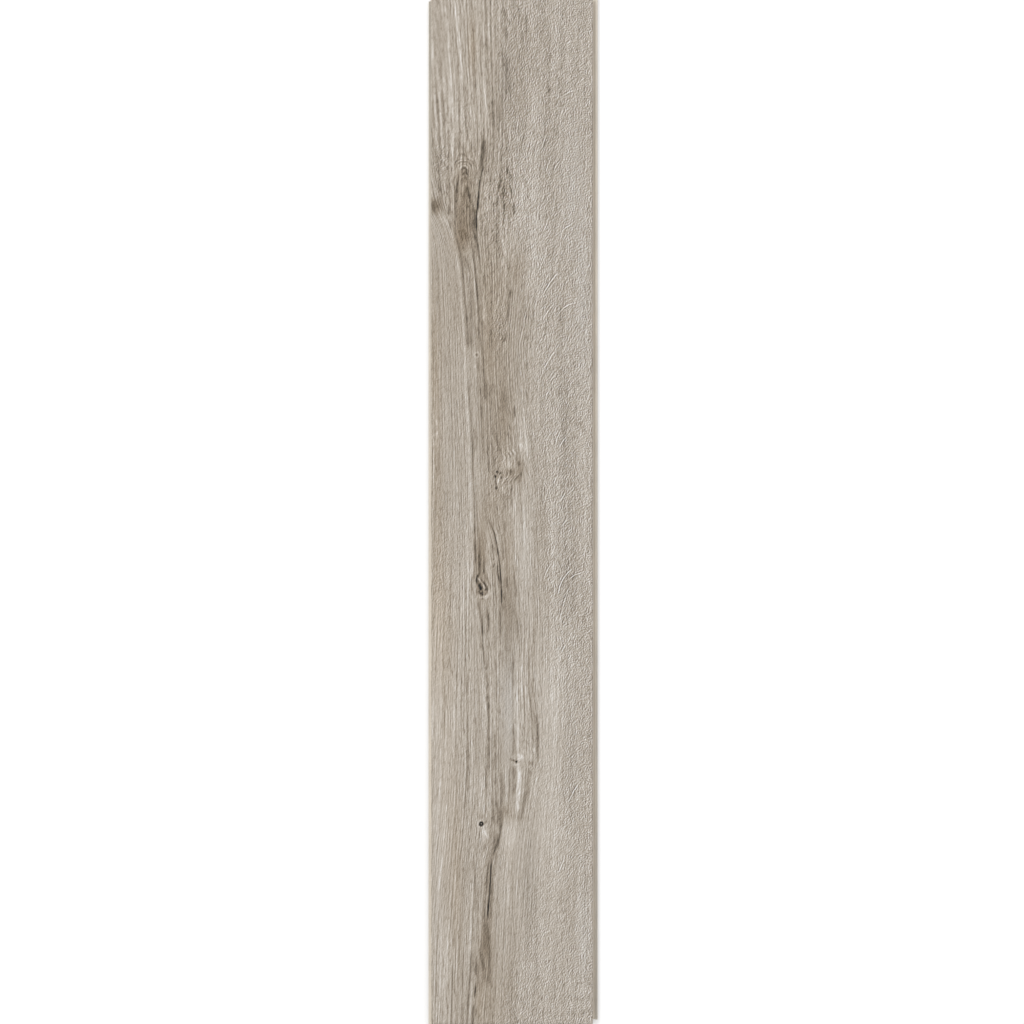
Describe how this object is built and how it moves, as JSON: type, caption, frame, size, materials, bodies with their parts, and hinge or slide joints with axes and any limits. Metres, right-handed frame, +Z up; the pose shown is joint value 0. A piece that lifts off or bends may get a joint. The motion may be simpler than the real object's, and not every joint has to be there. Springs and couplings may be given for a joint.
{
  "type": "laminate floor plank",
  "caption": "Long thin laminate floor plank with a wood-look face and a glueless tongue-and-groove locking joint on all sides.",
  "frame": {"origin": "on the underside, straight below the middle of the wood-look face", "axes": "+X across the plank, from the tongue to the groove; +Y along the plank, from the tongue end to the groove end; +Z up, out of the wood-look face"},
  "size_m": [0.2014, 1.2284, 0.008],
  "materials": {
    "laminate_board": "matte"
  },
  "bodies": {
    "root": {"plank": "laminate_board"}
  },
  "joints": []
}
